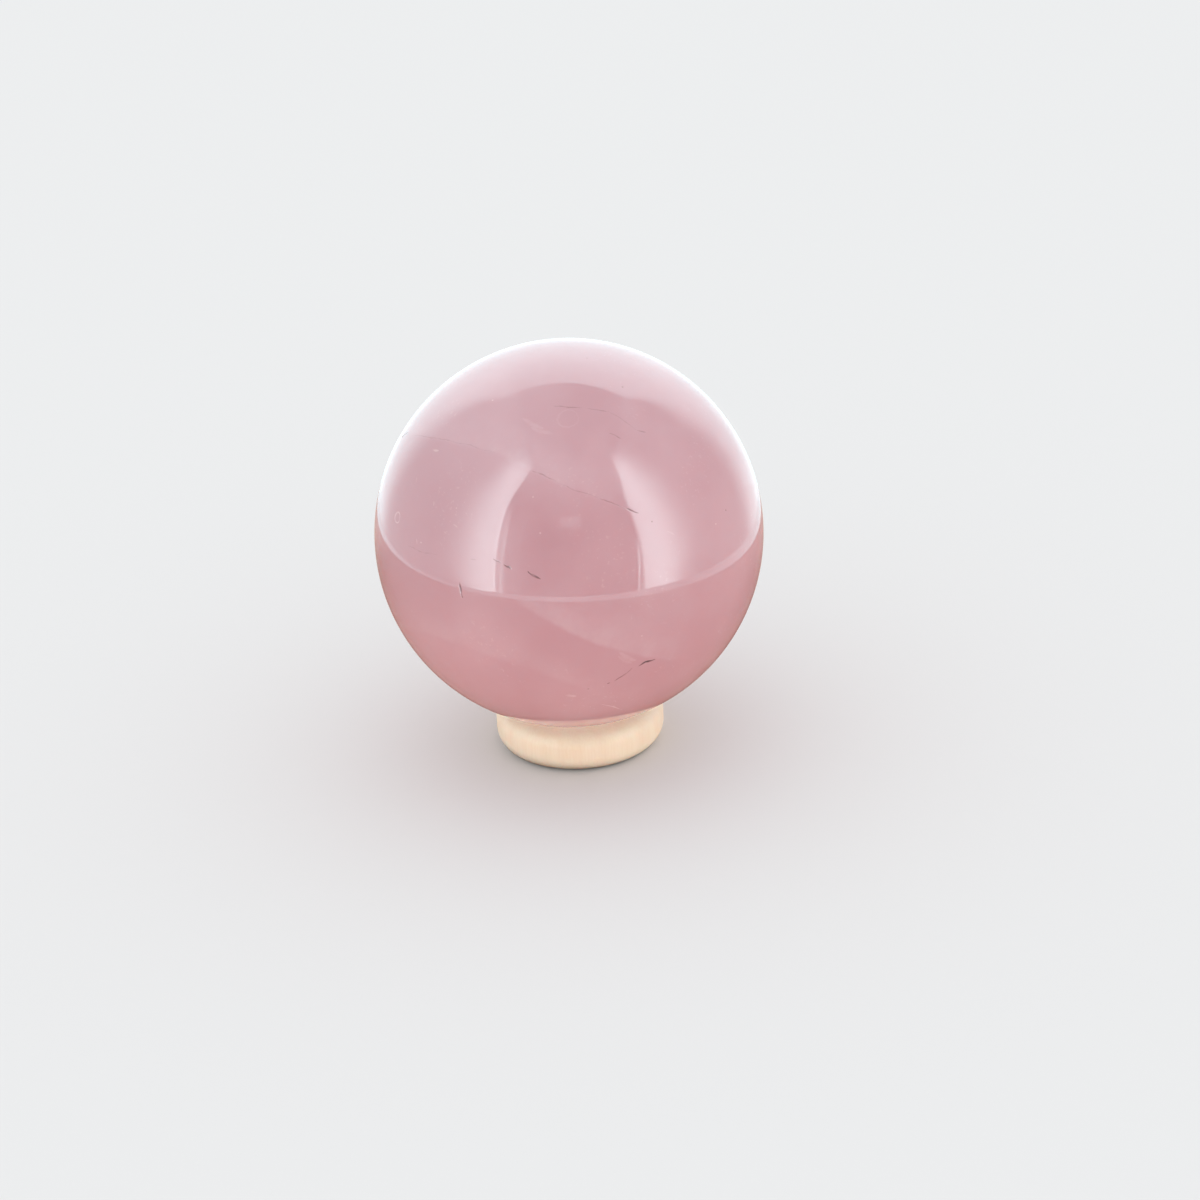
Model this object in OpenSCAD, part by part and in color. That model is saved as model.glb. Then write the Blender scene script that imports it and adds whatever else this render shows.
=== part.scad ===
// Polished rose quartz ball resting on a small turned wooden ring.
// Millimetres, +Z up. The origin is the centre of the ring's foot, on the surface that it stands on.

/* [Ball] */
// Diameter of the polished quartz ball
ball_d = 60; // [40:1:100]

/* [Ring] */
// Outside diameter of the ring, at its widest
ring_outer_d = 26.5; // [24:0.5:36]
// Diameter of the straight bore through the ring
ring_bore_d = 15; // [10:0.5:17]
// Height of the ring, from its foot to its crown
ring_h = 7; // [5:0.1:12]
// Rounding of the two outside edges, which makes the outside a bead
bead_r = 2.8; // [1.5:0.1:5]
// Rounding of the inner shoulder, which the ball sits on
shoulder_r = 2.8; // [1.5:0.1:5]
// Rounding of the bore's lower edge
bore_edge_r = 0.6; // [0.2:0.1:1.2]

/* [Fit] */
// Clearance between the ball and the shoulder that carries it
seat_gap = 0.02; // [0.01:0.01:0.3]

/* [Hidden] */
$fn = 160;

quartz_pink = "#c98f95";
pale_wood = "#ead2b0";

ball_r = ball_d / 2;
outer_r = ring_outer_d / 2;
bore_r = ring_bore_d / 2;

// A rounding stops short of half its wall and half the ring's height
fillet_limit_share = 0.49;
fillet_limit = fillet_limit_share * min(outer_r - bore_r, ring_h);
bead = min(bead_r, fillet_limit);
shoulder = min(shoulder_r, fillet_limit);
bore_edge = min(bore_edge_r, shoulder);

// Where the centres of the roundings run
bead_at = outer_r - bead;
shoulder_at = bore_r + shoulder;
bore_edge_at = bore_r + bore_edge;
crown_z = ring_h - bead;
shoulder_z = ring_h - shoulder;

// The ball settles where it touches the shoulder all the way round
seat_reach = ball_r + shoulder + seat_gap;
ball_z = shoulder_z + sqrt(pow(seat_reach, 2) - pow(shoulder_at, 2));

// A disc of the section, which leaves one rounded edge
module rounding(at, z, r) {
    translate([at, z])
        circle(r);
}

// A block of the section, from one corner to the other
module block(inner, low, outer, high) {
    translate([inner, low])
        square([outer - inner, high - low]);
}

// Half section of the ring: a bead outside, a straight bore inside and a round shoulder above it
module ring_section() {
    rounding(bead_at, crown_z, bead);
    rounding(bead_at, bead, bead);
    rounding(shoulder_at, shoulder_z, shoulder);
    rounding(bore_edge_at, bore_edge, bore_edge);
    block(shoulder_at, 0, bead_at, ring_h);
    block(bead_at, bead, outer_r, crown_z);
    block(bore_r, bore_edge, shoulder_at, shoulder_z);
    block(bore_edge_at, 0, shoulder_at, bore_edge);
}

module quartz_ball() {
    color(quartz_pink)
        translate([0, 0, ball_z])
            sphere(ball_r);
}

module ring_stand() {
    color(pale_wood)
        rotate_extrude()
            ring_section();
}

quartz_ball();
ring_stand();
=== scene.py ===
import math

import bmesh
import bpy
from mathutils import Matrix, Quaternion, Vector, kdtree, noise


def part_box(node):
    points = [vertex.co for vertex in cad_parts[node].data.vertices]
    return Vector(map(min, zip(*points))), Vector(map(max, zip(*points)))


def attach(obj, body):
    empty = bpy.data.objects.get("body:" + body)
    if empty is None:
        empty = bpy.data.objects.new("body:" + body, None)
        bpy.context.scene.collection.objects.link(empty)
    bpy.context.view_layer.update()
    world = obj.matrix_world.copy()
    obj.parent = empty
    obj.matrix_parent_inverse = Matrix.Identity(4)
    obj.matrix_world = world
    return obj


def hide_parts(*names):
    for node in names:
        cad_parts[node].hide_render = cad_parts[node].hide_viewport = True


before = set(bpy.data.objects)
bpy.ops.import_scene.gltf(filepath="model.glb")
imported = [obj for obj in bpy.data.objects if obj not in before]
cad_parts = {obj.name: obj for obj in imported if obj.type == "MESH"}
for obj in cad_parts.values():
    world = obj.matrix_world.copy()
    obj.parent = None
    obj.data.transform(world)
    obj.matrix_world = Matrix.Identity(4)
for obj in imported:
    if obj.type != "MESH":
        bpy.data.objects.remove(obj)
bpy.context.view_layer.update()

MM = 0.001

# Sizes taken from the frame
ball_low, ball_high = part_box("quartz_ball")
BALL_R = (ball_high.z - ball_low.z) / 2
BALL_CENTRE = Vector((0, 0, ball_high.z - BALL_R))
ring_low, ring_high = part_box("ring_stand")
RING_OUTER_R = (ring_high.x - ring_low.x) / 2
RING_H = ring_high.z - ring_low.z
RING_BORE_R = min(v.co.xy.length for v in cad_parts["ring_stand"].data.vertices)

# The ring's roundings, as turned, and how finely it is divided
BEAD_R = 2.8 * MM
SHOULDER_R = 2.8 * MM
BORE_EDGE_R = 0.6 * MM
RING_STEPS = 160
ROUND_SEGMENTS = 14
LOOP_TOLERANCE = 0.01 * MM
MERGE_DISTANCE = 0.001 * MM

# The ball: how finely it is divided
BALL_SUBDIVISIONS = 7
# How the hand polish strays from true: how far, over what length, and a seed
POLISH = (0.006 * MM, 14 * MM, 0.0)

# Marks in the stone. Each has a half width, a strength and the points of the surface that it runs through,
# as (azimuth, elevation) in degrees, with azimuth 0 at the front and positive to the right.
CRACK_DEPTH = 0.06 * MM
CRACKS = [
    (0.12 * MM, 0.55, [(-22.7, 16.2), (-21.4, 15.5), (-19.8, 15.0)]),
    (0.18 * MM, 0.95, [(-19.0, 14.9), (-18.0, 14.4), (-17.4, 14.4), (-16.7, 13.9)]),
    (0.23 * MM, 1.00, [(-11.7, 13.5), (-10.2, 12.3), (-9.3, 11.9), (-8.2, 11.3)]),
    (0.21 * MM, 0.80, [(-32.9, 7.8), (-32.5, 5.9), (-32.2, 4.8), (-31.9, 3.5)]),
    (0.21 * MM, 1.00, [(19.5, -20.3), (20.4, -19.7), (21.4, -19.3), (22.9, -19.2), (24.8, -19.1)]),
    (0.15 * MM, 0.50, [(9.7, -25.6), (10.6, -25.2)]),
    (0.14 * MM, 0.55, [(12.0, -24.6), (14.9, -22.7), (15.9, -22.0), (17.4, -20.5)]),
    (0.12 * MM, 0.30, [(-4.4, 62.4), (4.4, 61.9), (12.3, 60.8)]),
    (0.12 * MM, 0.30, [(15.2, 60.3), (20.3, 59.4), (25.9, 58.0)]),
    (0.13 * MM, 0.32, [(21.5, 50.9), (23.6, 50.1), (25.8, 48.7)]),
    (0.12 * MM, 0.25, [(34.7, 49.9), (38.2, 48.4)]),
    (0.11 * MM, 0.28, [(-12.3, 41.8), (-8.5, 40.7), (-3.0, 38.2)]),
    (0.11 * MM, 0.17, [(-3.0, 38.2), (5.7, 34.9), (11.0, 32.6)]),
    (0.11 * MM, 0.26, [(11.0, 32.6), (14.7, 30.9), (18.3, 28.8)]),
    (0.13 * MM, 0.58, [(18.3, 28.6), (19.6, 28.3), (20.7, 27.6), (22.9, 26.3)]),
    (0.11 * MM, 0.14, [(25.9, 58.0), (30.5, 54.2), (34.7, 49.9)]),
    (0.11 * MM, 0.14, [(-54.8, 13.1), (-48.0, 13.4), (-41.6, 13.8)]),
    (0.12 * MM, 0.25, [(-29.6, 15.6), (-27.6, 15.4)]),
    (0.20 * MM, 0.70, [(-91.2, 35.0), (-86.8, 38.6)]),
    (0.11 * MM, 0.15, [(-80.5, 39.9), (-56.5, 45.3), (-28.0, 45.9)]),
    (0.20 * MM, 0.90, [(96.0, 12.0), (98.2, 11.0), (100.2, 10.3)]),
    (0.15 * MM, 0.60, [(118.0, -14.0), (122.0, -15.9), (126.0, -17.9)]),
    (0.12 * MM, 0.35, [(112.0, 38.0), (124.0, 33.5), (137.0, 30.0), (148.0, 24.5)]),
    (0.22 * MM, 0.95, [(161.0, 4.0), (163.0, 4.8), (165.2, 5.5)]),
    (0.13 * MM, 0.50, [(-158.0, 22.0), (-152.5, 19.0), (-147.0, 18.2)]),
    (0.18 * MM, 0.80, [(-126.0, -8.0), (-123.6, -10.2), (-123.0, -12.0)]),
    (0.11 * MM, 0.30, [(-150.0, -20.0), (-138.0, -24.5), (-124.0, -26.0)]),
]
WISPS = [
    (0.50 * MM, 0.07, [(-20.5, 57.6), (-14.7, 55.9), (-9.0, 54.8)]),
    (0.50 * MM, 0.06, [(-14.5, 55.0), (-9.7, 53.7), (-4.0, 53.0)]),
    (0.50 * MM, 0.09, [(12.9, -13.9), (15.2, -15.9), (18.2, -17.6)]),
    (0.50 * MM, 0.06, [(12.6, -15.2), (14.6, -16.9), (17.0, -18.2)]),
    (0.16 * MM, 0.09, [(30.9, 19.7), (33.3, 18.3)]),
    (0.40 * MM, 0.18, [(-3.6, -29.3), (-0.4, -30.0)]),
    (0.18 * MM, 0.28, [(8.5, -35.9), (13.0, -38.6), (17.5, -42.3)]),
    (0.18 * MM, 0.25, [(-59.0, 41.5), (-55.6, 42.2)]),
    (0.16 * MM, 0.12, [(-59.9, 32.3), (-59.0, 30.5)]),
    (0.16 * MM, 0.12, [(-47.5, 28.4), (-47.0, 26.9)]),
    (0.16 * MM, 0.14, [(-37.1, 24.1), (-35.4, 23.4)]),
    (0.16 * MM, 0.12, [(-51.0, 16.4), (-50.4, 15.0)]),
    (0.28 * MM, 0.22, [(128.0, 6.0), (134.0, 3.0), (141.0, 1.5)]),
    (0.22 * MM, 0.25, [(-170.0, -6.0), (-163.0, -9.5)]),
    (0.26 * MM, 0.25, [(-112.0, 28.0), (-106.0, 24.0)]),
]
# Small pale loops: where, how wide and how strong
LOOPS = [((-63.1, 19.0), 0.75 * MM, 0.30), ((3.6, 57.6), 1.60 * MM, 0.05)]
LOOP_HALF = 0.20 * MM
LOOP_CORNERS = 12
DARK_SPECKS = [(26.7, 23.5), (55.8, 18.2), (45.9, 64.5), (3.7, -27.0), (57.8, 80.3),
               (104, 31), (-171, 36), (-118, -30)]
PALE_SPECKS = [(-45.3, 62.0), (-10.8, 34.1), (-8.2, 24.1), (-37.3, 28.4), (19.8, -9.2), (-48.8, 15.9),
               (49.5, 16.3), (88, 22), (131, 48), (172, 27), (-142, 41), (-101, 6)]
SPECK_HALF = 0.16 * MM
SPECK_STRENGTH = 0.45

# Camera: where the ball lies in the 1200 by 1200 picture, and how the picture was taken
PICTURE_PX = 1200
FOCAL_PX = 3000
BALL_AT_PX = (569.1, 533.0)
BALL_R_PX = 194.6
CAMERA_PITCH = math.radians(25.2)
CAMERA_ROLL = math.radians(3.2)
SENSOR = 36.0
CLIP_START = 0.01


def on_ball(azimuth, elevation):
    """Direction from the ball's centre to a point of its surface, angles in degrees."""
    a, e = math.radians(azimuth), math.radians(elevation)
    return Vector((math.sin(a) * math.cos(e), -math.cos(a) * math.cos(e), math.sin(e)))


def new_object(name, bm, material):
    """Turns a bmesh into an object with one material."""
    mesh = bpy.data.meshes.new(name)
    bm.to_mesh(mesh)
    bm.free()
    mesh.materials.append(material)
    made = bpy.data.objects.new(name, mesh)
    bpy.context.scene.collection.objects.link(made)
    return made


def put(bm, name, body, node, material):
    """Turns a bmesh into a shaded piece that rides on a body and stands for a node."""
    piece = new_object(name, bm, material)
    piece.data.shade_smooth()
    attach(piece, body)
    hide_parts(node)
    return piece


# Node helpers

def new_material(name):
    """A material with its tree and its Principled shader."""
    material = bpy.data.materials.new(name)
    material.use_nodes = True
    tree = material.node_tree
    return material, tree, tree.nodes["Principled BSDF"]


def add(tree, kind, inputs=None, **settings):
    """Adds a node. Each input is a value, or a socket to link."""
    made = tree.nodes.new(kind)
    for key, value in settings.items():
        setattr(made, key, value)
    for key, value in (inputs or {}).items():
        if isinstance(value, bpy.types.NodeSocket):
            tree.links.new(value, made.inputs[key])
        else:
            made.inputs[key].default_value = value
    return made


def calc(tree, operation, a, b=0.0):
    """One Math node's value."""
    return add(tree, "ShaderNodeMath", {0: a, 1: b}, operation=operation).outputs[0]


def product(tree, first, *others):
    """All values multiplied."""
    for other in others:
        first = calc(tree, "MULTIPLY", first, other)
    return first


def total(tree, first, *others):
    """All values added up."""
    for other in others:
        first = calc(tree, "ADD", first, other)
    return first


def vector(tree, operation, a, b=(0, 0, 0), output="Vector"):
    """One Vector Math node's vector or value."""
    return add(tree, "ShaderNodeVectorMath", {0: a, 1: b}, operation=operation).outputs[output]


def spread(tree, value, low, high, to_low=0.0, to_high=1.0):
    """A value eased from one range to another."""
    ranges = {"Value": value, "From Min": low, "From Max": high, "To Min": to_low, "To Max": to_high}
    return add(tree, "ShaderNodeMapRange", ranges, interpolation_type="SMOOTHSTEP").outputs[0]


def between(tree, share, first, second):
    """Value between first and second."""
    return add(tree, "ShaderNodeMix", {0: share, 2: first, 3: second}, data_type="FLOAT").outputs[0]


def mixed(tree, share, first, second):
    """Colour between first and second."""
    return add(tree, "ShaderNodeMix", {0: share, 6: first, 7: second}, data_type="RGBA").outputs[2]


def cloud(tree, where, size, detail, roughness):
    """Noise whose lumps are about size across."""
    inputs = {"Vector": where, "Scale": 1 / size, "Detail": detail, "Roughness": roughness}
    return add(tree, "ShaderNodeTexNoise", inputs).outputs[0]


def pattern(tree, where, size, detail, roughness, low, high, least=0.0):
    """A cloud from least to 1, eased between two levels of its noise."""
    return spread(tree, cloud(tree, where, size, detail, roughness), low, high, least)


def around_axis(tree, x, y):
    """Degrees round the upright axis, from the front and positive to the right."""
    return calc(tree, "DEGREES", calc(tree, "ARCTAN2", x, calc(tree, "MULTIPLY", y, -1.0)))


# Materials. A pattern's values are the size of its lumps, the detail and roughness of its noise,
# the two levels of noise that it lies between and, where it isn't 0, the least that it gives.

QUARTZ_DEEP = (0.514, 0.283, 0.308, 1)
QUARTZ_PALE = (0.562, 0.333, 0.358, 1)
STONE_CLOUDS = (20 * MM, 4.0, 0.5, 0.30, 0.72)
# A cooler patch: its colour, where it is, its reach, and the share of that reach where it is full
QUARTZ_COOL = (0.510, 0.305, 0.332, 1)
COOL_AT = (-62, 25)
COOL_REACH = 26 * MM
COOL_CORE_SHARE = 0.3
# Sugary spots: fine grains that show in patches
SUGAR_GRAINS = (0.55 * MM, 2.0, 0.5, 0.60, 0.72)
SUGAR_PATCHES = (11 * MM, 3.0, 0.5, 0.52, 0.66)
SUGAR_STRENGTH = 0.09
CRACK_BROWN = (0.075, 0.020, 0.022, 1)
WISP_WHITE = (0.900, 0.740, 0.740, 1)
# Roughness of the polish and of a crack, and how strong a crack is where light stops scattering below it
QUARTZ_ROUGHNESS = (0.03, 0.35)
CRACK_CLOSES = (0.2, 0.8)
QUARTZ_IOR = 1.544
QUARTZ_SCATTER_RADIUS = (1.0, 0.6, 0.55)
QUARTZ_SCATTER_DEPTH = 8 * MM

# Healed fractures, each a plane that is pale on one side: the way it faces, its distance from the ball's
# centre, how far its paleness fades, the point of the surface where it shows best, its reach from there,
# and its strength
VEILS = [
    ((0.53, -0.13, 0.84), 1.5 * MM, 7.5 * MM, (8, -8), 19 * MM, 0.32),
    ((0.39, 0.45, 0.80), -22.6 * MM, 4.0 * MM, (-24, -12), 22 * MM, 0.17),
    ((0.36, 0.45, 0.82), 5.8 * MM, 7.0 * MM, (-52, 47), 20 * MM, 0.17),
    ((0.42, 0.19, 0.89), 11.5 * MM, 6.0 * MM, (-2, 43), 13 * MM, 0.22),
    ((0.30, -0.60, 0.74), -8.0 * MM, 6.0 * MM, (150, 12), 22 * MM, 0.30),
    ((0.20, -0.45, 0.87), -17.0 * MM, 5.0 * MM, (-150, -12), 20 * MM, 0.28),
    ((-0.30, 0.40, 0.86), -3.0 * MM, 6.0 * MM, (95, 5), 18 * MM, 0.25),
]
VEIL_WHITE = (0.670, 0.520, 0.550, 1)
VEIL_EDGE = (-0.4 * MM, 0.5 * MM)
VEIL_CORE_SHARE = 0.4
VEIL_PATCHES = (6 * MM, 5.0, 0.6, 0.30, 0.70, 0.35)
# How a veil strays from its plane: the size, detail and roughness of its waves, their middle, and how far
VEIL_WAVES = (6 * MM, 4.0, 0.6)
NOISE_MIDDLE = 0.5
VEIL_STRAY = 0.9 * MM


def veiled(tree, place, colour):
    """The stone's colour with its healed fractures."""
    waves = calc(tree, "SUBTRACT", cloud(tree, place, *VEIL_WAVES), NOISE_MIDDLE)
    stray = product(tree, waves, VEIL_STRAY)
    patches = pattern(tree, place, *VEIL_PATCHES)
    for facing, distance, fade, best, reach, strength in VEILS:
        along = vector(tree, "DOT_PRODUCT", place, Vector(facing).normalized(), "Value")
        past = calc(tree, "SUBTRACT", calc(tree, "ADD", along, stray), distance)
        pale = product(tree, spread(tree, past, *VEIL_EDGE), spread(tree, past, fade, 0.0))
        away = vector(tree, "DISTANCE", place, on_ball(*best) * BALL_R, "Value")
        near = spread(tree, away, reach, VEIL_CORE_SHARE * reach)
        colour = mixed(tree, product(tree, pale, near, patches, strength), colour, VEIL_WHITE)
    return colour


def rose_quartz():
    """Polished cloudy pink stone with healed fractures, fine cracks and pale wisps."""
    material, tree, shader = new_material("rose_quartz")
    where = add(tree, "ShaderNodeTexCoord").outputs["Object"]
    place = vector(tree, "SUBTRACT", where, BALL_CENTRE)
    colour = mixed(tree, pattern(tree, place, *STONE_CLOUDS), QUARTZ_DEEP, QUARTZ_PALE)
    from_cool = vector(tree, "DISTANCE", place, on_ball(*COOL_AT) * BALL_R, "Value")
    cool = spread(tree, from_cool, COOL_REACH, COOL_CORE_SHARE * COOL_REACH)
    colour = veiled(tree, place, mixed(tree, cool, colour, QUARTZ_COOL))
    grains = pattern(tree, place, *SUGAR_GRAINS)
    sugary = pattern(tree, place, *SUGAR_PATCHES)
    colour = mixed(tree, product(tree, grains, sugary, SUGAR_STRENGTH), colour, WISP_WHITE)
    wisp = add(tree, "ShaderNodeAttribute", attribute_name="wisp").outputs["Fac"]
    crack = add(tree, "ShaderNodeAttribute", attribute_name="crack").outputs["Fac"]
    colour = mixed(tree, wisp, colour, WISP_WHITE)
    colour = mixed(tree, crack, colour, CRACK_BROWN)
    tree.links.new(colour, shader.inputs["Base Color"])
    tree.links.new(spread(tree, crack, 0.0, 1.0, *QUARTZ_ROUGHNESS), shader.inputs["Roughness"])
    tree.links.new(spread(tree, crack, *CRACK_CLOSES, 1.0, 0.0), shader.inputs["Subsurface Weight"])
    shader.inputs["IOR"].default_value = QUARTZ_IOR
    shader.inputs["Subsurface Radius"].default_value = QUARTZ_SCATTER_RADIUS
    shader.inputs["Subsurface Scale"].default_value = QUARTZ_SCATTER_DEPTH
    return material


WOOD_PALE = (0.920, 0.775, 0.610, 1)
WOOD_STREAK = (0.850, 0.675, 0.500, 1)
# The grain, drawn out upwards, and how much of the streaks' colour shows
GRAIN_STRETCH = (1, 1, 0.06)
FINE_GRAIN = (0.30 * MM, 3.0, 0.6, 0.35, 0.75)
BROAD_GRAIN = (2.5 * MM, 2.0, 0.5, 0.3, 0.7)
STREAK_SHARE = 0.35
WOOD_ROUGHNESS = (0.42, 0.55)
WOOD_BUMP = 0.15
WOOD_BUMP_DEPTH = 0.05 * MM
WOOD_SCATTER = 0.8
WOOD_SCATTER_RADIUS = (1.0, 0.6, 0.45)
WOOD_SCATTER_DEPTH = 3 * MM


def pale_wood():
    """Fine-grained pale wood, sanded to a satin, with the grain running up the wall."""
    material, tree, shader = new_material("pale_wood")
    where = add(tree, "ShaderNodeTexCoord").outputs["Object"]
    grain_at = add(tree, "ShaderNodeMapping", {"Vector": where, "Scale": GRAIN_STRETCH}).outputs[0]
    fine = pattern(tree, grain_at, *FINE_GRAIN)
    broad = pattern(tree, grain_at, *BROAD_GRAIN)
    share = product(tree, total(tree, fine, broad), STREAK_SHARE)
    tree.links.new(mixed(tree, share, WOOD_PALE, WOOD_STREAK), shader.inputs["Base Color"])
    tree.links.new(spread(tree, fine, 0.0, 1.0, *WOOD_ROUGHNESS), shader.inputs["Roughness"])
    relief = {"Height": fine, "Strength": WOOD_BUMP, "Distance": WOOD_BUMP_DEPTH}
    tree.links.new(add(tree, "ShaderNodeBump", relief).outputs[0], shader.inputs["Normal"])
    shader.inputs["Subsurface Weight"].default_value = WOOD_SCATTER
    shader.inputs["Subsurface Radius"].default_value = WOOD_SCATTER_RADIUS
    shader.inputs["Subsurface Scale"].default_value = WOOD_SCATTER_DEPTH
    return material


# Ball

# How far apart the spots of a mark lie, and how near to them the ball is divided, once for each reach
MARK_STEP = 0.08 * MM
MARK_REACHES = (1.1 * MM, 0.7 * MM, 0.4 * MM)
MARK_MARGIN = 0.1 * MM
# How a mark wanders, and how its width and its strength vary: by how much, over what length, and a seed
WANDER_BROAD = (0.25 * MM, 3 * MM, 0.0)
WANDER_FINE = (0.10 * MM, 0.8 * MM, 7.0)
RAGGED = (0.5, 0.6 * MM, 3.0)
BROKEN = (0.9, 1.0 * MM, 11.0)
BROKEN_MIDDLE = 0.85
BROKEN_LEAST = 0.15
# The width left at a mark's two ends, where its middle is, and how fast it fills in from its edge
END_SHARE = 0.3
HALFWAY = 0.5
FILL = 1.7


def uneven(place, amount, size, seed):
    """Noise of about plus or minus an amount at a place, with lumps of about size."""
    return amount * noise.noise(place / size + Vector((seed, seed, seed)))


def walk(places):
    """Points of the surface every step along a mark, each with how far along it lies.

    The mark wanders a little to either side.
    """
    corners = [on_ball(*place) * BALL_R for place in places]
    length = sum((b - a).length for a, b in zip(corners, corners[1:]))
    done = 0.0
    for a, b in zip(corners, corners[1:]):
        span = (b - a).length
        across = a.cross(b).normalized()
        steps = max(2, math.ceil(span / MARK_STEP))
        for i in range(steps):
            point = a.lerp(b, i / steps)
            stray = uneven(point, *WANDER_BROAD) + uneven(point, *WANDER_FINE)
            yield (point + across * stray).normalized() * BALL_R, (done + span * i / steps) / length
        done += span


def loop_places(centre, radius):
    """Places round a small circle on the surface."""
    azimuth, elevation = centre
    reach = math.degrees(radius / BALL_R)
    lean = math.cos(math.radians(elevation))
    turns = [math.tau * i / LOOP_CORNERS for i in range(LOOP_CORNERS + 1)]
    return [(azimuth + reach * math.cos(t) / lean, elevation + reach * math.sin(t)) for t in turns]


def all_spots():
    """Every spot of every mark, as (point, how far along its mark, layer, half width, strength)."""
    lines = [("crack", *crack) for crack in CRACKS]
    lines += [("wisp", *wisp) for wisp in WISPS]
    lines += [("wisp", LOOP_HALF, strength, loop_places(place, radius)) for place, radius, strength in LOOPS]
    for layer, half, strength, places in lines:
        for point, along in walk(places):
            yield point, along, layer, half, strength
    for layer, specks in (("crack", DARK_SPECKS), ("wisp", PALE_SPECKS)):
        for place in specks:
            yield on_ball(*place) * BALL_R, HALFWAY, layer, SPECK_HALF, SPECK_STRENGTH


def mark_ball(bm):
    """Divides the ball finely along its marks and writes how strongly each point is marked."""
    layers = {name: bm.verts.layers.float.new(name) for name in ("crack", "wisp")}
    spots = list(all_spots())
    tree = kdtree.KDTree(len(spots))
    for i, spot in enumerate(spots):
        tree.insert(spot[0], i)
    tree.balance()
    for reach in MARK_REACHES:
        near = {v for v in bm.verts if tree.find(v.co)[2] < reach}
        edges = [e for e in bm.edges if e.verts[0] in near and e.verts[1] in near]
        bmesh.ops.subdivide_edges(bm, edges=edges, cuts=1, use_grid_fill=True)
    bmesh.ops.triangulate(bm, faces=[f for f in bm.faces if len(f.verts) > 3])
    for v in bm.verts:
        v.co = v.co.normalized() * BALL_R
        for found, i, distance in tree.find_range(v.co, MARK_REACHES[-1] + MARK_MARGIN):
            along, layer, half, strength = spots[i][1:]
            ends = END_SHARE + (1 - END_SHARE) * math.sin(math.pi * along)
            width = half * ends * (1 + uneven(found, *RAGGED))
            broken = min(1.0, max(BROKEN_LEAST, BROKEN_MIDDLE + uneven(found, *BROKEN)))
            inside = max(0.0, 1 - distance / width)
            value = strength * broken * min(1.0, FILL * inside)
            v[layers[layer]] = max(v[layers[layer]], value)
    return layers["crack"]


def quartz_ball():
    """The ball, with its cracks cut in and its polish a little wavy."""
    bm = bmesh.new()
    bmesh.ops.create_icosphere(bm, subdivisions=BALL_SUBDIVISIONS, radius=BALL_R)
    crack = mark_ball(bm)
    for v in bm.verts:
        out = v.co.normalized()
        stray = uneven(out * BALL_R, *POLISH)
        v.co = out * (BALL_R - CRACK_DEPTH * v[crack] + stray)
    bmesh.ops.translate(bm, verts=bm.verts, vec=BALL_CENTRE)
    bmesh.ops.recalc_face_normals(bm, faces=bm.faces)
    return put(bm, "polished_ball", "root", "quartz_ball", rose_quartz())


# Ring

def loop_edges(bm, radius, height):
    """Edges of the ring that run round it at one radius and height."""
    def on(v):
        return abs(v.co.xy.length - radius) < LOOP_TOLERANCE and abs(v.co.z - height) < LOOP_TOLERANCE
    return [e for e in bm.edges if on(e.verts[0]) and on(e.verts[1])]


def ring_stand():
    """The ring, spun from a square section and rounded at each edge."""
    bm = bmesh.new()
    corners = [(RING_BORE_R, 0), (RING_OUTER_R, 0), (RING_OUTER_R, RING_H), (RING_BORE_R, RING_H)]
    points = [bm.verts.new((at, 0, z)) for at, z in corners]
    section = [bm.edges.new((points[i - 1], points[i])) for i in range(len(points))]
    bmesh.ops.spin(bm, geom=points + section, cent=(0, 0, 0), axis=(0, 0, 1), angle=math.tau,
                   steps=RING_STEPS, use_merge=True)
    bmesh.ops.remove_doubles(bm, verts=bm.verts, dist=MERGE_DISTANCE)
    bmesh.ops.recalc_face_normals(bm, faces=bm.faces)
    roundings = [(RING_OUTER_R, 0, BEAD_R), (RING_OUTER_R, RING_H, BEAD_R),
                 (RING_BORE_R, RING_H, SHOULDER_R), (RING_BORE_R, 0, BORE_EDGE_R)]
    for at, z, r in roundings:
        bmesh.ops.bevel(bm, geom=loop_edges(bm, at, z), offset=r, offset_type="OFFSET", affect="EDGES",
                        segments=ROUND_SEGMENTS, profile=0.5, material=-1)
    return put(bm, "turned_ring", "root", "ring_stand", pale_wood())


# Stage

GLOSS_ONLY = dict(camera=False, diffuse=False, transmission=False, volume_scatter=False, shadow=False)
BOUNCE_ONLY = dict(camera=False, glossy=False, transmission=False, volume_scatter=False, shadow=False)


def stage_object(name, bm, material, **seen_by):
    """Adds a stage object. Ray kinds that it is hidden from are given as False."""
    made = new_object(name, bm, material)
    for kind, seen in seen_by.items():
        setattr(made, "visible_" + kind, seen)
    return made


# What the polish mirrors: a tent of white cloth with a lamp behind each side, open at the front and the back.
# Angles are in degrees, azimuth 0 towards the front and positive to the right, elevation 0 level.
# A ramp is two angles and, where they aren't 0 and 1, the values at the two.
TENT_R = 2.0
TENT_SUBDIVISIONS = 6
TENT_TINT = (0.80, 1.00, 1.03, 1)
FULL_TURN = 360
# Ramps by elevation of the opening and of the cloth, and how far to each side the one turns into the other
OPENING_GLOW = (25, 66, 0.4, 2.0)
CLOTH_GLOW = (12, 55, 0.95, 2.05)
CLOTH_FROM = (40, 44)
# The right half is dimmer: how far across that begins, and the ramp by elevation that it takes away
DIM_ACROSS = (-0.1, 0.2)
DIM_TAKES = (32, 56, 0.22, 0.7)
# The ridge where each wall of cloth ends above: how far out it lies for its height, and how much brighter
# the wall is. Then how soft the ridge is, the ramp by elevation, and the least height that counts
RIDGES = [(-0.345, 0.4), (0.526, 0.45)]
RIDGE_SOFT = 0.04
RIDGE_UP = (45, 58)
RIDGE_LEAST_HEIGHT = 0.2
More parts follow.
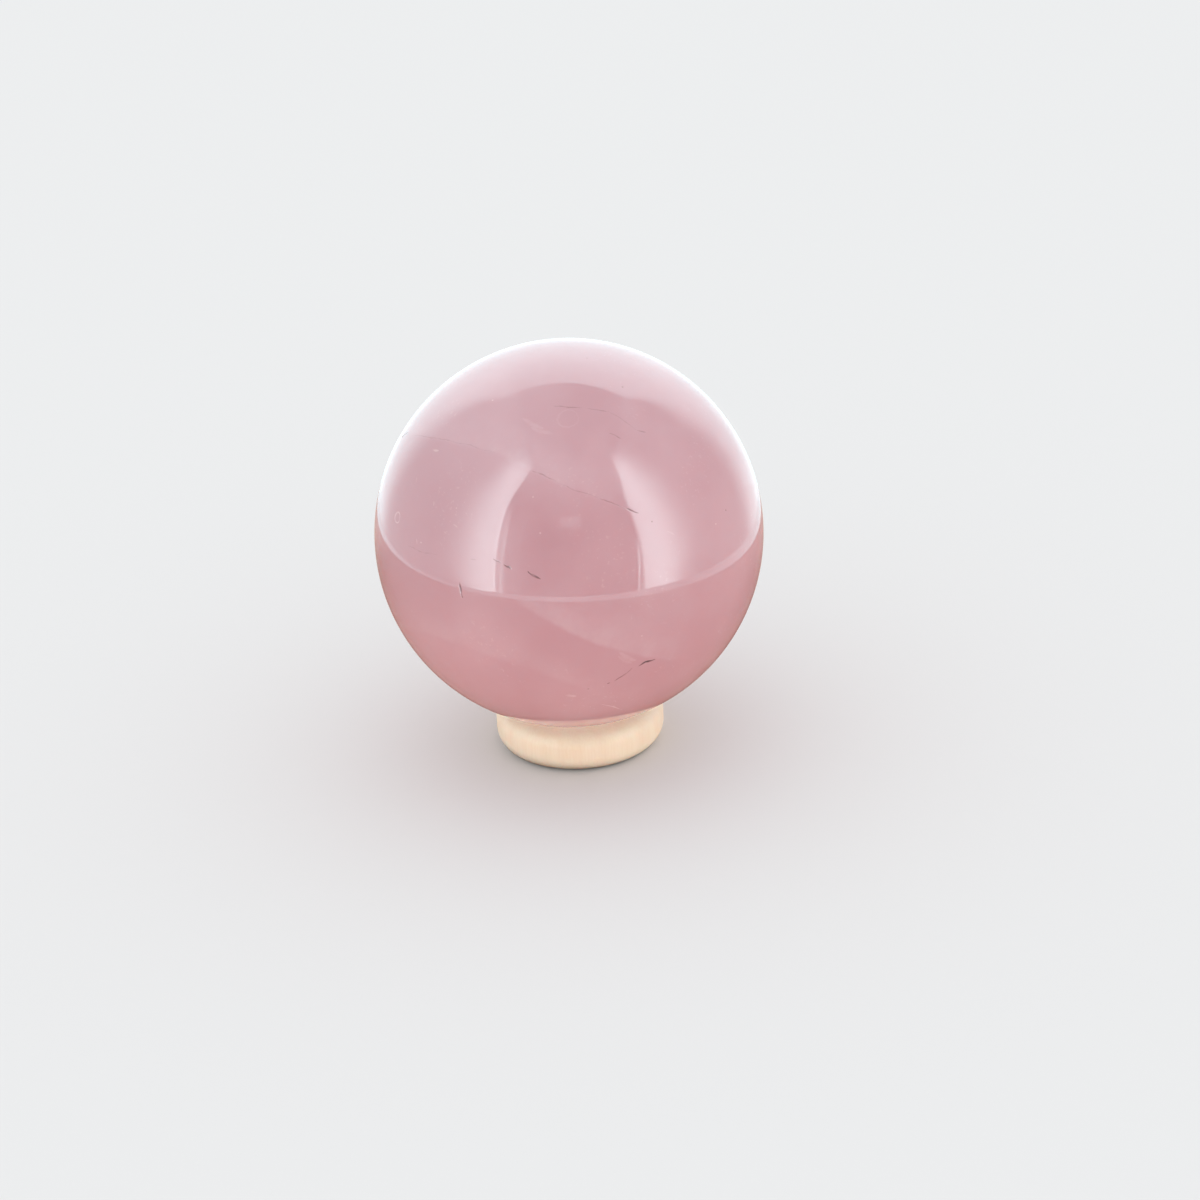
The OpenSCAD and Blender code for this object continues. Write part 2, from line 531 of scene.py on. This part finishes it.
# The white wall seen through the back: its middle, half its width, its top, which is lower at the sides,
# the ramp of its softness above by azimuth, how much wider it is lower down, its softness at the sides,
# and its ramp of brightness
BACK_AT = 176.8
BACK_HALF = 41.8
BACK_TOP = 58.8
BACK_DROP = 0.0033
BACK_TOP_SOFT = (20, 42, 0.7, 2.5)
BACK_WIDER = (50, 20, 5, 18)
BACK_SIDE_SOFT = 4
BACK_GLOW = (-5, 50, 1.9, 3.4)
# Each lamp: its inner edge, how far that edge leans out by the middle and by the top, how soft it is,
# where the lamp is brightest, how wide it glows, where its top fades, and its strength
LAMPS = [(-43.2, -0.5, -7.0, 0.8, -47.0, 18.5, 65.5, 5.8), (41.2, 0.8, 11.0, 1.8, 51.5, 18.0, 62.5, 5.8)]
# Ramps by elevation: the lean of the edge, how wide the lamp glows at its foot and head, and how it dims
LEAN_LOW = (-15, 12)
LEAN_HIGH = (30, 64)
LAMP_FOOT = (-14, -4, 0.78, 1.0)
LAMP_HEAD = (30, 50, 1.0, 0.79)
LAMP_DIMS = (10, 45, 1.0, 0.82)
LAMP_FADE = 13
# Each fold of cloth beside a lamp: its near side, its far side, where it fades, and how bright it is
FOLDS = [(-36.8, -38.6, 40.0, 1.5), (37.6, 38.8, 16.0, 0.9)]
FOLD_END = (45.5, 42.0)
# Each seam beside a lamp: its azimuth, how far it leans, where it fades, and how bright it is
SEAMS = [(-39.4, 0.6, 30.0, 1.2), (39.2, 1.1, 16.0, 3.4)]
SEAM_EDGE = (0.9, 0.2)
FOLD_FADE = 12
# The skirt of cloth before the left lamp: how it rises, where it ends, and how it fades upwards
SKIRT_RISE = (-18, -37, 0.0, 1.1)
SKIRT_END = (-45.5, -42)
SKIRT_FADE = (38, 15)
# The pale square in the middle of the opening: its middle, its lower and upper edge, its reach to each side,
# how soft it is, and its strength
SQUARE_AT = (1.5, 27.0, 33.0)
SQUARE_HALF = 7.0
SQUARE_SOFT = 0.7
SQUARE_GLOW = 1.0


def cloth_glow(tree, across, height, side, up):
    """Brightness of the cloth on both sides and of the opening between."""
    opening = spread(tree, up, *OPENING_GLOW)
    cloth = spread(tree, up, *CLOTH_GLOW)
    bright = between(tree, spread(tree, side, *CLOTH_FROM), opening, cloth)
    dim = product(tree, spread(tree, across, *DIM_ACROSS), spread(tree, up, *DIM_TAKES))
    bright = calc(tree, "SUBTRACT", bright, dim)
    over = calc(tree, "DIVIDE", across, calc(tree, "MAXIMUM", height, RIDGE_LEAST_HEIGHT))
    for ridge, strength in RIDGES:
        wall = spread(tree, over, (1 - RIDGE_SOFT) * ridge, (1 + RIDGE_SOFT) * ridge)
        bright = calc(tree, "ADD", bright, product(tree, wall, spread(tree, up, *RIDGE_UP), strength))
    return bright


def back_share(tree, azimuth, up):
    """How far the white wall at the back takes the cloth's place."""
    turns = [calc(tree, "SUBTRACT", azimuth, middle) for middle in (BACK_AT, BACK_AT - FULL_TURN)]
    around = calc(tree, "MINIMUM", *(calc(tree, "ABSOLUTE", turn) for turn in turns))
    top = calc(tree, "SUBTRACT", BACK_TOP, product(tree, around, around, BACK_DROP))
    soft = spread(tree, around, *BACK_TOP_SOFT)
    below = calc(tree, "DIVIDE", calc(tree, "SUBTRACT", top, up), soft)
    rim = calc(tree, "ADD", spread(tree, up, *BACK_WIDER), BACK_HALF)
    inside = spread(tree, around, rim, BACK_HALF - BACK_SIDE_SOFT)
    return product(tree, inside, spread(tree, below, -1.0, 1.0))


def lamp_glow(tree, azimuth, up, lamp):
    """Brightness of one lamp behind the cloth."""
    edge, lean_middle, lean_top, edge_soft, best, width, top, strength = lamp
    out = calc(tree, "MULTIPLY", azimuth, math.copysign(1, edge))
    lean_low = spread(tree, up, *LEAN_LOW, 0.0, lean_middle)
    lean_high = spread(tree, up, *LEAN_HIGH, 0.0, lean_top)
    past_edge = calc(tree, "SUBTRACT", out, total(tree, lean_low, lean_high, abs(edge)))
    inside = spread(tree, past_edge, -edge_soft, edge_soft)
    reach = product(tree, spread(tree, up, *LAMP_FOOT), spread(tree, up, *LAMP_HEAD), width)
    off = calc(tree, "DIVIDE", calc(tree, "SUBTRACT", out, abs(best)), reach)
    hill = calc(tree, "EXPONENT", product(tree, off, off, -1.0))
    fade = product(tree, spread(tree, up, top, top - LAMP_FADE), spread(tree, up, *LAMP_DIMS))
    return product(tree, hill, inside, fade, strength)


def fold_glow(tree, azimuth, up, fold):
    """Brightness of one fold of cloth."""
    near, far, top, strength = fold
    out = calc(tree, "MULTIPLY", azimuth, math.copysign(1, near))
    inside = product(tree, spread(tree, out, abs(near), abs(far)), spread(tree, out, *FOLD_END))
    return product(tree, inside, spread(tree, up, top, top - FOLD_FADE), strength)


def seam_glow(tree, azimuth, up, seam):
    """Brightness of one seam."""
    middle, lean, top, strength = seam
    seam_at = spread(tree, up, *LEAN_LOW, middle - lean, middle + lean)
    off = calc(tree, "ABSOLUTE", calc(tree, "SUBTRACT", azimuth, seam_at))
    return product(tree, spread(tree, off, *SEAM_EDGE), spread(tree, up, top, top - FOLD_FADE), strength)


def skirt_glow(tree, azimuth, up):
    """Brightness of the skirt of cloth."""
    rise = product(tree, spread(tree, azimuth, *SKIRT_RISE), spread(tree, azimuth, *SKIRT_END))
    return product(tree, rise, spread(tree, up, *SKIRT_FADE))


def square_glow(tree, azimuth, up):
    """Brightness of the pale square."""
    middle, bottom, top = SQUARE_AT
    off = calc(tree, "ABSOLUTE", calc(tree, "SUBTRACT", azimuth, middle))
    return product(tree, spread(tree, off, SQUARE_HALF + SQUARE_SOFT, SQUARE_HALF - SQUARE_SOFT),
                   spread(tree, up, bottom - SQUARE_SOFT, bottom + SQUARE_SOFT),
                   spread(tree, up, top + SQUARE_SOFT, top - SQUARE_SOFT), SQUARE_GLOW)


def tent_strength(tree, where):
    """How bright the tent is in a direction."""
    x, y, z = add(tree, "ShaderNodeSeparateXYZ", {0: vector(tree, "NORMALIZE", where)}).outputs
    azimuth = around_axis(tree, x, y)
    side = calc(tree, "ABSOLUTE", azimuth)
    up = calc(tree, "DEGREES", calc(tree, "ARCSINE", z))
    cloth = cloth_glow(tree, x, z, side, up)
    bright = between(tree, back_share(tree, azimuth, up), cloth, spread(tree, up, *BACK_GLOW))
    lamps = [lamp_glow(tree, azimuth, up, lamp) for lamp in LAMPS]
    folds = [fold_glow(tree, azimuth, up, fold) for fold in FOLDS]
    seams = [seam_glow(tree, azimuth, up, seam) for seam in SEAMS]
    skirt = skirt_glow(tree, azimuth, up)
    return total(tree, bright, *lamps, *folds, *seams, skirt, square_glow(tree, azimuth, up))


def tent():
    """The tent round the ball, which only the polish mirrors."""
    material = bpy.data.materials.new("tent_cloth")
    material.use_nodes = True
    material.cycles.emission_sampling = "NONE"
    tree = material.node_tree
    tree.nodes.clear()
    where = add(tree, "ShaderNodeTexCoord").outputs["Object"]
    shine = add(tree, "ShaderNodeEmission", {"Color": TENT_TINT, "Strength": tent_strength(tree, where)})
    output = add(tree, "ShaderNodeOutputMaterial")
    tree.links.new(shine.outputs[0], output.inputs[0])
    bm = bmesh.new()
    bmesh.ops.create_icosphere(bm, subdivisions=TENT_SUBDIVISIONS, radius=TENT_R)
    stage_object("tent", bm, material, **GLOSS_ONLY).location = BALL_CENTRE


BLACK = (0, 0, 0, 1)
FLOOR_HALF = 3.0
FLOOR_PALE = (0.72, 0.715, 0.70, 1)
CARD_LIFT = 0.05 * MM
CARD_STEPS = 256
# A sheet under the floor, which only lights the part from below: dark at the foot, a painted shade that keeps
# the ring's underside in shadow, warm round it and pale far out. Where its middle is, then its colours, and
# the ramps by distance that they come in along
UNDER_AT = (-2 * MM, 0, 0)
UNDER_PAINTED_SHADE = (0.12, 0.08, 0.06, 1)
UNDER_PALE = (0.60, 0.53, 0.47, 1)
UNDER_FOOT = (13 * MM, 22 * MM)
UNDER_GLOW_NEAR = (1.0, 0.85, 0.80, 1)
UNDER_GLOW_FAR = (0.95, 1.00, 1.00, 1)
UNDER_NEAR = (13 * MM, 15 * MM, 0.0, 0.50)
UNDER_FAR = (30 * MM, 90 * MM)
UNDER_FAR_STRENGTH = 0.14
# The light that comes through the stone onto the crown of the ring: a strip just below the ball, its two
# radii, their heights, its strength towards the ring and towards the ball, and how it fades outwards
THROUGH_R = (9.9 * MM, 15.0 * MM)
THROUGH_Z = (7.0 * MM, 9.0 * MM)
THROUGH_STEPS = 96
THROUGH_PINK = (1.0, 0.74, 0.76, 1)
THROUGH_GLOW = (0.90, 0.50)
THROUGH_FADE = (10.4 * MM, 13.0 * MM, 1.0, 0.4)
# The warm round that the polish mirrors: its middle and radius, then each colour with the ramps by place,
# by degrees to each side or by distance that it comes in along
MIRRORED_AT = (-24 * MM, -21 * MM)
MIRRORED_R = 139 * MM
MIRRORED_NEAR = (0.41, 0.25, 0.20, 1)
MIRRORED_LEFT = (0.25, 0.12, 0.06, 1)
LEFT_FROM = (-20 * MM, -80 * MM)
MIRRORED_BACK = (0.60, 0.46, 0.38, 1)
BACK_FROM = (50 * MM, 100 * MM)
MIRRORED_LAMP = (0.58, 0.58, 0.52, 1)
LAMP_SIDE_FROM = (12, 26)
LAMP_SIDE_TO = (70, 54)
LAMP_AWAY_FROM = (50 * MM, 80 * MM)
MIRRORED_SHADE = (0.28, 0.15, 0.11, 1)
SHADE_AT = (58 * MM, 22 * MM, 0)
SHADE_REACH = (40 * MM, 15 * MM)
# Its pale hem: how high it stands, how much lower it is at the left, its strength at the front and at the
# sides, and what each lamp adds, by degrees to each side
HEM_H = 8.5 * MM
HEM_LEFT_DROP = 4.5 * MM
HEM_GLOW = (50, 62, 1.7, 1.5)
HEM_LAMP_GLOW = 0.5
HEM_LAMP_FROM = (26, 34)
HEM_LAMP_TO = (60, 47)


def plain(name, colour, glow_colour=BLACK):
    """A matt material with its tree and its shader, and the colour that it may glow in."""
    material, tree, shader = new_material(name)
    shader.inputs["Base Color"].default_value = colour
    shader.inputs["Roughness"].default_value = 1.0
    shader.inputs["Specular IOR Level"].default_value = 0.0
    shader.inputs["Emission Color"].default_value = glow_colour
    return material, tree, shader


def under_glow():
    """Matt and dark at the foot of the part as painted shade, glowing further out."""
    material, tree, shader = plain("under_light", UNDER_PALE)
    where = add(tree, "ShaderNodeTexCoord").outputs["Object"]
    away = vector(tree, "DISTANCE", where, UNDER_AT, "Value")
    colour = mixed(tree, spread(tree, away, *UNDER_FOOT), UNDER_PAINTED_SHADE, UNDER_PALE)
    tint = mixed(tree, spread(tree, away, *UNDER_FAR), UNDER_GLOW_NEAR, UNDER_GLOW_FAR)
    near = spread(tree, away, *UNDER_NEAR)
    far = spread(tree, away, *UNDER_FAR, 0.0, UNDER_FAR_STRENGTH)
    tree.links.new(colour, shader.inputs["Base Color"])
    tree.links.new(tint, shader.inputs["Emission Color"])
    tree.links.new(total(tree, near, far), shader.inputs["Emission Strength"])
    return material


def through_glow():
    """Glows pink, more to its front than to its back."""
    material, tree, shader = plain("through_light", BLACK, THROUGH_PINK)
    back = add(tree, "ShaderNodeNewGeometry").outputs["Backfacing"]
    where = add(tree, "ShaderNodeTexCoord").outputs["Object"]
    away = vector(tree, "LENGTH", where, output="Value")
    glow = product(tree, between(tree, back, *THROUGH_GLOW), spread(tree, away, *THROUGH_FADE))
    tree.links.new(glow, shader.inputs["Emission Strength"])
    return material


def mirrored_warm():
    """Matt and warm: darker to the left and in the ball's shade, paler at the back and below each lamp."""
    material, tree, shader = plain("mirrored_round", MIRRORED_NEAR)
    place = add(tree, "ShaderNodeNewGeometry").outputs["Position"]
    split = add(tree, "ShaderNodeSeparateXYZ", {0: place}).outputs
    colour = mixed(tree, spread(tree, split["X"], *LEFT_FROM), MIRRORED_NEAR, MIRRORED_LEFT)
    colour = mixed(tree, spread(tree, split["Y"], *BACK_FROM), colour, MIRRORED_BACK)
    side = calc(tree, "ABSOLUTE", around_axis(tree, split["X"], split["Y"]))
    far = spread(tree, vector(tree, "LENGTH", place, output="Value"), *LAMP_AWAY_FROM)
    below_lamps = product(tree, spread(tree, side, *LAMP_SIDE_FROM), spread(tree, side, *LAMP_SIDE_TO), far)
    colour = mixed(tree, below_lamps, colour, MIRRORED_LAMP)
    from_shade = vector(tree, "DISTANCE", place, SHADE_AT, "Value")
    colour = mixed(tree, spread(tree, from_shade, *SHADE_REACH), colour, MIRRORED_SHADE)
    tree.links.new(colour, shader.inputs["Base Color"])
    return material


def hem_glow():
    """Pale, and paler below each lamp."""
    material, tree, shader = plain("mirrored_hem", BLACK, TENT_TINT)
    place = add(tree, "ShaderNodeNewGeometry").outputs["Position"]
    split = add(tree, "ShaderNodeSeparateXYZ", {0: place}).outputs
    side = calc(tree, "ABSOLUTE", around_axis(tree, split["X"], split["Y"]))
    lamp = product(tree, spread(tree, side, *HEM_LAMP_FROM), spread(tree, side, *HEM_LAMP_TO), HEM_LAMP_GLOW)
    glow = total(tree, lamp, spread(tree, side, *HEM_GLOW))
    tree.links.new(glow, shader.inputs["Emission Strength"])
    return material


def sheet():
    """A square as wide as the floor."""
    bm = bmesh.new()
    bmesh.ops.create_grid(bm, x_segments=1, y_segments=1, size=FLOOR_HALF)
    return bm


def floor():
    """The pale floor, and the sheet that lights the part from below."""
    pale = plain("floor", FLOOR_PALE)[0]
    stage_object("floor", sheet(), pale, diffuse=False, glossy=False, shadow=False)
    under = stage_object("under_light", sheet(), under_glow(), **BOUNCE_ONLY)
    under.location.z = -CARD_LIFT


def through_light():
    """The strip that stands for light through the stone."""
    bm = bmesh.new()
    inner, outer = THROUGH_R
    bottom, top = THROUGH_Z
    bmesh.ops.create_cone(bm, radius1=inner, radius2=outer, depth=top - bottom, segments=THROUGH_STEPS)
    through = stage_object("through_light", bm, through_glow(), **BOUNCE_ONLY)
    through.location.z = (bottom + top) / 2


def mirrored_ground():
    """The warm round and its hem, which only the polish mirrors."""
    bm = bmesh.new()
    bmesh.ops.create_circle(bm, cap_ends=True, radius=MIRRORED_R, segments=CARD_STEPS)
    mirrored = stage_object("mirrored_round", bm, mirrored_warm(), **GLOSS_ONLY)
    mirrored.location = (*MIRRORED_AT, CARD_LIFT)
    bm = bmesh.new()
    bmesh.ops.create_cone(bm, radius1=MIRRORED_R, radius2=MIRRORED_R, depth=HEM_H, segments=CARD_STEPS)
    for v in bm.verts:
        if v.co.z > 0 and v.co.x < 0:
            v.co.z -= HEM_LEFT_DROP * (v.co.x / MIRRORED_R) ** 2
    hem = stage_object("mirrored_hem", bm, hem_glow(), **GLOSS_ONLY)
    hem.location = (*MIRRORED_AT, HEM_H / 2)


SKY_WHITE = (0.98, 1.0, 1.03, 1)
SKY_STRENGTH = 1.2


def light():
    """A soft white sky."""
    world = bpy.data.worlds.new("soft_white")
    bpy.context.scene.world = world
    world.use_nodes = True
    sky = world.node_tree.nodes["Background"]
    sky.inputs["Color"].default_value = SKY_WHITE
    sky.inputs["Strength"].default_value = SKY_STRENGTH
    bpy.context.scene.view_settings.view_transform = "Standard"


def camera():
    """Stands where the ball falls on its place in the picture, at its size there."""
    data = bpy.data.cameras.new("camera")
    data.sensor_width = SENSOR
    data.lens = SENSOR * FOCAL_PX / PICTURE_PX
    data.clip_start = CLIP_START
    made = bpy.data.objects.new("camera", data)
    bpy.context.scene.collection.objects.link(made)
    turn = Quaternion((1, 0, 0), math.pi / 2 - CAMERA_PITCH) @ Quaternion((0, 0, 1), -CAMERA_ROLL)
    across, down = ((px - PICTURE_PX / 2) / FOCAL_PX for px in BALL_AT_PX)
    ray = turn @ Vector((across, -down, -1)).normalized()
    made.rotation_mode = "QUATERNION"
    made.rotation_quaternion = turn
    made.location = BALL_CENTRE - ray * BALL_R / math.sin(math.atan(BALL_R_PX / FOCAL_PX))
    bpy.context.scene.camera = made


quartz_ball()
ring_stand()
floor()
through_light()
mirrored_ground()
tent()
light()
camera()
